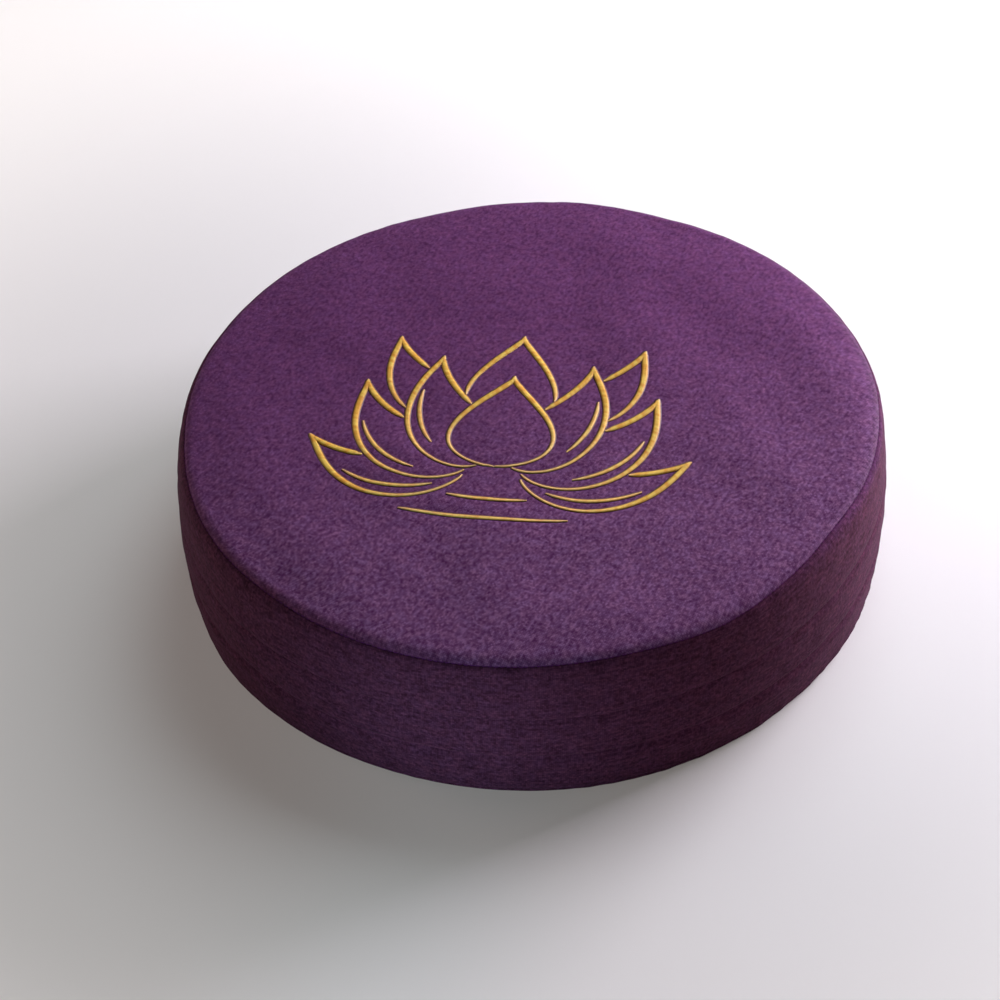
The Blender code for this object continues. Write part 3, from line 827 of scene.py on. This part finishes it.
def inside(point, outline):
    """Whether a point lies inside a closed outline."""
    crossed = False
    for start, end in zip(outline, outline[1:] + outline[:1]):
        if (start.y > point.y) != (end.y > point.y):
            level = (point.y - start.y) / (end.y - start.y)
            crossed ^= point.x < start.x + level * (end.x - start.x)
    return crossed


def petal_width(share):
    """Width of a petal's stroke: thin at its base, thick near its tip and a little less at the very tip."""
    loss = TIP_LOSS * smooth_step((share - TIP_LOSS_FROM) / TIP_LOSS_LENGTH)
    return THIN + (THICK - THIN) * (smooth_step(share / THICK_AT) * (1 - loss))


def pointed(stroke, sides):
    """A stroke that runs on beyond its petal's tip to a point, between the ways of the petal's sides."""
    points, widths = stroke
    if (points[-1] - sides[0][-1]).length > MM:
        return stroke
    ends = [side[-1] - side[-1 - TIP_SAMPLES] for side in sides]
    way = sum((end.normalized() for end in ends), Vector((0, 0))).normalized()
    shares = [part / TIP_STEPS for part in range(1, TIP_STEPS + 1)]
    return (points + [points[-1] + way * (TIP_POINT * share) for share in shares],
            widths + [max(widths[-1] * (1 - share) ** TIP_POWER, LEAST_WIDTH) for share in shares])


def swelling_width(share, thick):
    """Width of a stroke with two thin ends."""
    return THIN + (thick - THIN) * math.sin(math.pi * share)


def drawn_petals():
    """Each petal as drawn, front to back: its name and its outer and inner side on the cushion."""
    for petal in columns(PETAL_COLUMNS, PETALS):
        hands = HANDS if petal["tip_u"] else (("middle", 1),)
        for hand, mirror in hands:
            sides = [[on_cushion(u, v) for u, v in side] for side in petal_sides(petal, mirror)]
            yield f"petal_{petal['name']}_{hand}", sides


def drawn_lines():
    """The lines drawn on and below the petals: name and points on the cushion."""
    for fold in columns(FOLD_COLUMNS, FOLDS):
        petal = next(p for p in columns(PETAL_COLUMNS, PETALS) if p["name"] == fold["petal"])
        petal["half_width"] *= fold["share_of_width"]
        first, last = (round(fold[end] * SIDE_SAMPLES) for end in ("start", "end"))
        for hand, mirror in HANDS:
            side = petal_sides(petal, mirror)[0][first:last]
            yield f"fold_{fold['petal']}_{hand}", [on_cushion(u, v) for u, v in side]
    for ripple in columns(RIPPLE_COLUMNS, RIPPLES):
        line = [(place * ripple["half_length"], ripple["v"] - ripple["sag"] * (1 - place * place))
                for place in (share * 2 - 1 for share in SHARES)]
        yield f"ripple_{ripple['name']}", [on_cushion(u, v) for u, v in line]


def free_run(line, widths, covers, laid):
    """The longest run of a line's points that no petal in front covers and no laid stroke touches."""
    runs, run = [], []
    for index, (point, width) in enumerate(zip(line, widths)):
        hidden = any(inside(point, cover) for cover in covers)
        touching = any((point - other).length < (width + other_width) / 2 - STROKE_TUCK
                       for other, other_width in laid)
        if hidden or touching:
            runs.append(run)
            run = []
        else:
            run.append(index)
    runs.append(run)
    return max(runs, key=len)


def free_end_share(distance):
    """How much of its width a stroke keeps at a distance from its free end."""
    return END_SHARE + (1 - END_SHARE) * smooth_step(distance / END_TAPER)


def sewn_stroke(line, widths, covers, laid, thin_ends):
    """The part of a drawn line that is sewn, as points and widths, or None if too little is left.  It is
    added to the strokes laid so far."""
    run = free_run(line, widths, covers, laid)
    points, widths = [line[i] for i in run], [widths[i] for i in run]
    reach = [0.0]
    for start, end in zip(points, points[1:]):
        reach.append(reach[-1] + (end - start).length)
    if reach[-1] < SHORTEST_STROKE:
        return None
    widths = [width * free_end_share(distance) for width, distance in zip(widths, reach)]
    if thin_ends == 2:
        widths = [width * free_end_share(reach[-1] - distance) for width, distance in zip(widths, reach)]
    laid += zip(points, widths)
    return points, widths


def lotus_strokes():
    """Every sewn stroke by the name of its solid, as points and widths.  A stroke tucks in a little under
    one that it meets."""
    strokes, laid, covers = {}, [], []
    for name, sides in drawn_petals():
        for place, side in zip(("outer", "inner"), sides):
            widths = [petal_width(share) for share in SHARES]
            joined = [(point, width) for point, width in laid if (point - side[-1]).length < TIP_JOIN]
            others = [entry for entry in laid if entry not in joined]
            stroke = sewn_stroke(side, widths, covers, others, thin_ends=1)
            strokes[f"{name}_{place}"] = pointed(stroke, sides) if stroke and place == "outer" else stroke
            laid = others + joined
        covers.append(sides[0] + sides[1][::-1])
    for name, line in drawn_lines():
        widths = [swelling_width(index / (len(line) - 1), FOLD_THICK) for index in range(len(line))]
        strokes[name] = sewn_stroke(line, widths, [], laid, thin_ends=2)
    return {name: stroke for name, stroke in strokes.items() if stroke}


def smooth_track(reach, values, at):
    """A smooth curve through values at increasing distances, read at other distances."""
    slopes = np.gradient(values, reach, axis=0)
    index = np.clip(np.searchsorted(reach, at) - 1, 0, len(reach) - 2)
    gap = reach[index + 1] - reach[index]
    share = (at - reach[index]) / gap
    if values.ndim > 1:
        gap, share = gap[..., None], share[..., None]
    square, cube = share ** 2, share ** 3
    return ((2 * cube - 3 * square + 1) * values[index] + (cube - 2 * square + share) * gap * slopes[index]
            + (3 * square - 2 * cube) * values[index + 1] + (cube - square) * gap * slopes[index + 1])


def make_stroke(name, points, widths, cover, paint):
    """One stroke of satin stitch: thread beside thread across the stroke, domed, between two thin bands of
    painted shadow laid on the cloth.  Its rows lie by turns between two threads and on a thread's crest."""
    chance = random.Random(name)
    line = np.array([tuple(point) for point in points])
    reach = reached(np.hypot(*np.diff(line, axis=0).T))
    row_count = 2 * max(FEWEST_THREADS, round(reach[-1] / THREAD_PITCH)) + 1
    at = np.linspace(0, reach[-1], row_count)
    half = smooth_track(reach, np.array(widths), at) * SATIN_SHARE / 2
    ends = np.minimum(at, reach[-1] - at) / (half * SATIN_POINT + END_SLACK)
    half = half * np.sqrt(np.clip(1 - (1 - np.clip(ends, 0, 1)) ** 2, END_LEAST, 1))
    crest = np.arange(row_count) % 2
    loose = np.array([chance.uniform(-1, 1) for _ in range(row_count)]) * crest

    def by_crest(between, more, change):
        return between + more * crest + change * loose

    half = half * by_crest(*CREST_WIDTH)
    dome = np.maximum(half * SATIN_RELIEF, np.minimum(SATIN_LOWEST, half)) * by_crest(*CREST_HEIGHT)
    # the section's outermost points carry the band of painted shadow
    beyond = 1 + PINCH_WIDTH / half
    across = np.concatenate([-beyond[:, None], np.tile(SATIN_SECTION, (row_count, 1)), beyond[:, None]], 1)
    where = np.clip(at[:, None] + across * half[:, None] * THREAD_SLANT, 0, reach[-1])

    def track(step):
        """The stroke's middle line at a step ahead of every point."""
        at_step = np.clip(where + step, 0, reach[-1]).ravel()
        return smooth_track(reach, line, at_step).reshape(*across.shape, 2)

    centre, along = track(0), track(WAY_STEP) - track(-WAY_STEP)
    along /= np.linalg.norm(along, axis=-1, keepdims=True)
    left = np.stack([-along[..., 1], along[..., 0]], -1)
    place = centre + left * (across * half[:, None])[..., None]
    lift = PINCH_LIFT + dome[:, None] * np.sqrt(np.maximum(0, 1 - np.abs(across) ** SATIN_DOME))
    ring = across.shape[1] + 1
    verts = []
    for row in range(row_count):
        verts += [(x, y, cover(x, y) + z) for (x, y), z in zip(place[row], lift[row])]
        x, y = centre[row, ring // 2 - 1]
        verts.append((x, y, cover(x, y) - SATIN_DEPTH))
    mesh = smooth_mesh(f"satin_{name}", verts, tube_faces(0, row_count, ring), paint)
    start = chance.uniform(0, 100)
    slow = [noise.noise(Vector((start + distance / SHADE_LENGTH, start, 0))) for distance in at]
    slow_share, single = SHADE_SHARES
    tone = [0.5 + slow_share * value + chance.uniform(-single, single) for value in slow]
    thin = smooth_step((PALE_BELOW - 2 * half) / PALE_BELOW)
    mark_vertices(mesh, thread_shade=np.repeat(tone, ring), thread_thin=np.repeat(thin, ring),
                  thread_edge=[PINCH_MARK, *np.abs(SATIN_SECTION), PINCH_MARK, PINCH_MARK] * row_count,
                  thread_crest=np.repeat(crest, ring))
    return add_piece(f"satin_{name}", mesh, name)


# ---------------------------------------------------------------- materials

class Shader:
    """The node tree of a material or a world, with short calls for the nodes that it needs."""

    def __init__(self, owner, surface="Principled BSDF"):
        owner.use_nodes = True
        self.owner, self.tree = owner, owner.node_tree
        self.surface = self.tree.nodes[surface]

    def node(self, kind, inputs=(), **settings):
        """A new node.  Its inputs are given in order, or by name or number."""
        made = self.tree.nodes.new(kind)
        for key, value in settings.items():
            setattr(made, key, value)
        for key, value in inputs.items() if isinstance(inputs, dict) else enumerate(inputs):
            self.plug(value, made.inputs[key])
        return made

    def plug(self, value, socket):
        if isinstance(value, bpy.types.NodeSocket):
            self.tree.links.new(value, socket)
        else:
            socket.default_value = value

    def maths(self, operation, *values, clamp=False):
        return self.node("ShaderNodeMath", values, operation=operation, use_clamp=clamp).outputs[0]

    def mix(self, share, first, second, blend="MIX"):
        inputs = {"Factor": share, 6: first, 7: second}
        return self.node("ShaderNodeMix", inputs, data_type="RGBA", blend_type=blend).outputs[2]

    def vector(self, *parts):
        return self.node("ShaderNodeCombineXYZ", parts).outputs[0]

    def noise(self, place, detail=2.0):
        inputs = {"Vector": place, "Scale": 1.0, "Detail": detail, "Roughness": 0.5}
        return self.node("ShaderNodeTexNoise", inputs, noise_dimensions="3D").outputs["Fac"]

    def ramp(self, value, low, high, new_low=0.0, new_high=1.0):
        inputs = (value, low, high, new_low, new_high)
        return self.node("ShaderNodeMapRange", inputs, interpolation_type="SMOOTHSTEP").outputs[0]

    def marked(self, name):
        """A value that the mesh's vertices are marked with."""
        return self.node("ShaderNodeAttribute", attribute_name=name).outputs["Fac"]

    def finish(self, inputs):
        """The material or world, with the inputs of its surface given by name."""
        for name, value in inputs.items():
            self.plug(value, self.surface.inputs[name])
        return self.owner


def tinted(colour, redder):
    """A colour turned towards red, or towards blue where the share is negative."""
    red, green, blue = colour
    return (red * (1 + redder), green, blue * (1 - redder), 1)


def cover_cloth(name, dark, light, edge_tint, shoulder_tint, fleck_size, fleck_share, slub_size, slub_share,
                roughness, specular):
    """Plain weave of melange yarn: each yarn has its own tone, with slubs and dark flecks, and painted shade
    in the gaps between yarns.  Where the mesh is marked, painted light and shade change the colour: painted
    shade near the rim seam at the front left, painted shade on the top's shoulder and painted light on the
    side's, painted shade along the seam, and a painted sheen on the top."""
    shader = Shader(bpy.data.materials.new(name))
    maths = shader.maths
    place = shader.node("ShaderNodeUVMap", uv_map=CLOTH_MAP).outputs[0]
    split = shader.node("ShaderNodeSeparateXYZ", (place,)).outputs
    u, v = maths("DIVIDE", split[0], YARN_PITCH), maths("DIVIDE", split[1], YARN_PITCH)
    column, row = maths("FLOOR", u), maths("FLOOR", v)
    in_u = maths("SUBTRACT", maths("SUBTRACT", u, column), 0.5)
    in_v = maths("SUBTRACT", maths("SUBTRACT", v, row), 0.5)
    turn = maths("FLOORED_MODULO", maths("ADD", column, row), 2.0)
    over = maths("MULTIPLY_ADD", turn, 2.0, -1.0)

    def yarn(across, along, sign):
        """Height of a yarn from its round section and its way over and under."""
        side = maths("MULTIPLY", across, across)
        rounded = maths("SQRT", maths("MULTIPLY_ADD", side, -YARN_ROUND, 1.0))
        wave = maths("COSINE", maths("MULTIPLY", along, math.pi))
        wave = maths("MULTIPLY", maths("MULTIPLY", wave, over), 0.5 * sign)
        return maths("MULTIPLY_ADD", rounded, 0.5, wave)

    def patches(size_u, size_v, seed, detail):
        place = shader.vector(maths("DIVIDE", u, size_u), maths("DIVIDE", v, size_v), seed)
        return shader.noise(place, detail)

    warp, weft = yarn(in_u, in_v, 1), yarn(in_v, in_u, -1)
    height = maths("MAXIMUM", warp, weft)
    weft_up = maths("GREATER_THAN", weft, warp)
    warp_place = shader.vector(maths("MULTIPLY", column, WARP_STEP), maths("DIVIDE", v, YARN_CHANGE))
    weft_place = shader.vector(maths("DIVIDE", u, YARN_CHANGE), maths("MULTIPLY", row, WEFT_STEP), WEFT_SEED)
    tone = maths("ADD", maths("MULTIPLY", shader.noise(warp_place), maths("SUBTRACT", 1.0, weft_up)),
                 maths("MULTIPLY", shader.noise(weft_place), weft_up))
    spot = shader.node("ShaderNodeTexWhiteNoise", {"Vector": shader.vector(column, row, weft_up)},
                       noise_dimensions="3D").outputs["Value"]
    fleck = shader.ramp(patches(*fleck_size, 0, 1.0), *FLECK_RANGE)
    slub = patches(*slub_size, SLUB_SEED, 1.0)
    cloud = patches(CLOUD_SIZE, CLOUD_SIZE, CLOUD_SEED, 2.0)
    hue = shader.ramp(patches(HUE_SIZE, HUE_SIZE, HUE_SEED, 2.0), *HUE_RANGE)

    share = maths("MULTIPLY_ADD", spot, SPOT_SHARE, 0.5 - SPOT_SHARE / 2)
    for part, size in ((tone, TONE_SHARE), (fleck, fleck_share), (slub, slub_share), (cloud, CLOUD_SHARE)):
        share = maths("ADD", share, maths("MULTIPLY_ADD", part, size, -size / 2))
    # painted shade in the gaps between yarns
    share = maths("ADD", share, maths("MULTIPLY_ADD", height, *HEIGHT_SHARE))
    # painted sheen: more contrast as painted glints, and a lighter, greyer colour below
    faded = shader.marked("fading")
    contrast = maths("MULTIPLY_ADD", faded, CONTRAST[1], CONTRAST[0])
    share = maths("MULTIPLY_ADD", maths("SUBTRACT", share, MIDDLE_TONE), contrast, MIDDLE_TONE, clamp=True)
    bright = shader.mix(hue, tinted(light, -HUE_SHARE), tinted(light, HUE_SHARE))
    colour = shader.mix(maths("POWER", share, TONE_POWER), tinted(dark, 0), bright)
    # painted light and shade, multiplied in where the mesh is marked
    tints = ((shader.marked("edge_turn"), (*edge_tint, 1)), (shader.marked("shoulder"), (*shoulder_tint, 1)),
             (faded, (*FADED, 1)), (shader.marked("seam_line"), SEAM_SHADE))
    for mark, tint in tints:
        colour = shader.mix(mark, colour, tint, "MULTIPLY")
    bump = {"Strength": WEAVE_BUMP, "Distance": YARN_PITCH * WEAVE_BUMP, "Height": height}
    return shader.finish({
        "Base Color": colour, "Roughness": roughness, "Specular IOR Level": specular, "Sheen Weight": 0.02,
        "Sheen Roughness": 0.45, "Sheen Tint": (0.62, 0.34, 0.56, 1),
        "Normal": shader.node("ShaderNodeBump", bump).outputs[0],
    })


def gold_thread():
    """Glossy embroidery thread, each stitch a little lighter or darker, with painted shade between stitches
    and towards a stroke's edges.
    """
    shader = Shader(bpy.data.materials.new("gold_thread"))
    marks = ("thread_shade", "thread_crest", "thread_edge", "thread_thin")
    shade, crest, edge, thin = map(shader.marked, marks)
    tone = shader.mix(shader.maths("ADD", shade, 0.0, clamp=True), THREAD_DARK, THREAD_LIGHT)
    tone = shader.mix(shader.maths("MULTIPLY", thin, PALE_SHARE), tone, THREAD_THIN)
    # painted shade between stitches and towards a stroke's edges
    between, at_edge = DEEP_SHARES
    raised = shader.maths("MULTIPLY", shader.maths("MULTIPLY_ADD", crest, between, 1 - between),
                          shader.ramp(edge, 1.0, 0.5, 1 - at_edge, 1.0))
    colour = shader.mix(raised, THREAD_DEEP, tone)
    # the band beside the stroke is painted shadow
    colour = shader.mix(shader.ramp(edge, 1.0, 1.15), colour, PINCHED_CLOTH)
    return shader.finish({
        "Base Color": colour, "Roughness": 0.5, "Specular IOR Level": 0.28, "Sheen Weight": 0.08,
        "Sheen Tint": (1.0, 0.85, 0.5, 1),
    })


def seam_thread():
    """Violet sewing thread, a little lighter and darker along its way."""
    shader = Shader(bpy.data.materials.new("seam_thread"))
    inputs = {0: shader.node("ShaderNodeTexCoord").outputs["Object"], "Scale": 1 / STITCH_PITCH}
    place = shader.node("ShaderNodeVectorMath", inputs, operation="SCALE").outputs[0]
    colour = shader.mix(shader.noise(place), STITCH_DARK, STITCH_LIGHT)
    return shader.finish({"Base Color": colour, "Roughness": 0.9, "Specular IOR Level": 0.05})


def pale_floor():
    shader = Shader(bpy.data.materials.new("pale_floor"))
    place = shader.node("ShaderNodeNewGeometry").outputs["Position"]
    away = shader.node("ShaderNodeVectorMath", (place,), operation="LENGTH").outputs["Value"]
    return shader.finish({
        "Base Color": FLOOR_COLOUR, "Roughness": 0.9, "Specular IOR Level": 0.1,
        "Emission Color": GLOW_COLOUR,
        "Emission Strength": shader.ramp(away, GLOW_FROM, GLOW_TO, NEAR_GLOW, FAR_GLOW),
    })


def pale_horizon():
    """A world that is pale at the horizon, so that low views have a pale background, and dark above."""
    shader = Shader(bpy.data.worlds.new("studio"), "Background")
    way = shader.node("ShaderNodeTexCoord").outputs["Generated"]
    rise = shader.node("ShaderNodeSeparateXYZ", (way,)).outputs["Z"]
    strength = shader.ramp(rise, 0.0, HAZE_TOP, HORIZON_STRENGTH, SKY_STRENGTH)
    return shader.finish({"Color": WORLD_COLOUR, "Strength": strength})


# ---------------------------------------------------------------- camera and studio

def setup_camera():
    data = bpy.data.cameras.new("camera")
    data.sensor_width = 36
    data.lens = CAMERA_LENS
    data.clip_start = 0.05
    camera = new_object("camera", data)
    aim = (CAMERA_AIM - CAMERA_PLACE).to_track_quat("-Z", "Y").to_matrix().to_4x4()
    camera.matrix_world = Matrix.Translation(CAMERA_PLACE) @ aim @ Matrix.Rotation(CAMERA_ROLL, 4, "Z")
    bpy.context.scene.camera = camera


def add_light(name, aim_height, azimuth, elevation, distance, size, spread, power, colour):
    """A soft square light that faces the cushion at a height in mm.  Azimuth is from +X, in degrees like
    the elevation and the angle over which the light spreads."""
    data = bpy.data.lights.new(name, "AREA")
    data.size = size
    data.spread = math.radians(spread)
    data.energy = power
    data.color = colour
    light = new_object(name, data)
    turn, rise = math.radians(azimuth), math.radians(elevation)
    away = Vector((math.cos(turn) * math.cos(rise), math.sin(turn) * math.cos(rise), math.sin(rise)))
    light.visible_camera = False
    light.location = away * distance + UP * (aim_height * MM)
    light.rotation_euler = away.to_track_quat("Z", "Y").to_euler()


def setup_studio():
    """A pale floor under soft studio lights."""
    corners = [(x * FLOOR_REACH, y * FLOOR_REACH, 0) for x, y in ((-1, -1), (1, -1), (1, 1), (-1, 1))]
    floor = new_object("floor", smooth_mesh("floor", corners, [(0, 1, 2, 3)], pale_floor()))
    for row in columns(LIGHT_COLUMNS, LIGHTS):
        add_light(**row)
    bpy.context.scene.world = pale_horizon()
    bpy.context.scene.view_settings.view_transform = "Standard"


def surface_height(piece):
    """A function that gives a piece's topmost height at x and y."""
    piece.data.calc_loop_triangles()
    tree = BVHTree.FromPolygons([vertex.co for vertex in piece.data.vertices],
                                [tuple(face.vertices) for face in piece.data.loop_triangles])

    def height(x, y):
        return tree.ray_cast(Vector((x, y, 2 * TOP_EDGE_HEIGHT)), Vector((0, 0, -1)))[0].z

    return height


def main():
    setup_camera()
    setup_studio()
    strokes = lotus_strokes()
    section, azimuth = cover_section(), column_azimuths()
    grid = cover_grid(section, azimuth, strokes)
    cover = make_cover(section, azimuth, grid)
    make_seam_stitches(section, grid, seam_thread())
    height = surface_height(cover)
    thread = gold_thread()
    for name, (points, widths) in strokes.items():
        make_stroke(name, points, widths, height, thread)


main()
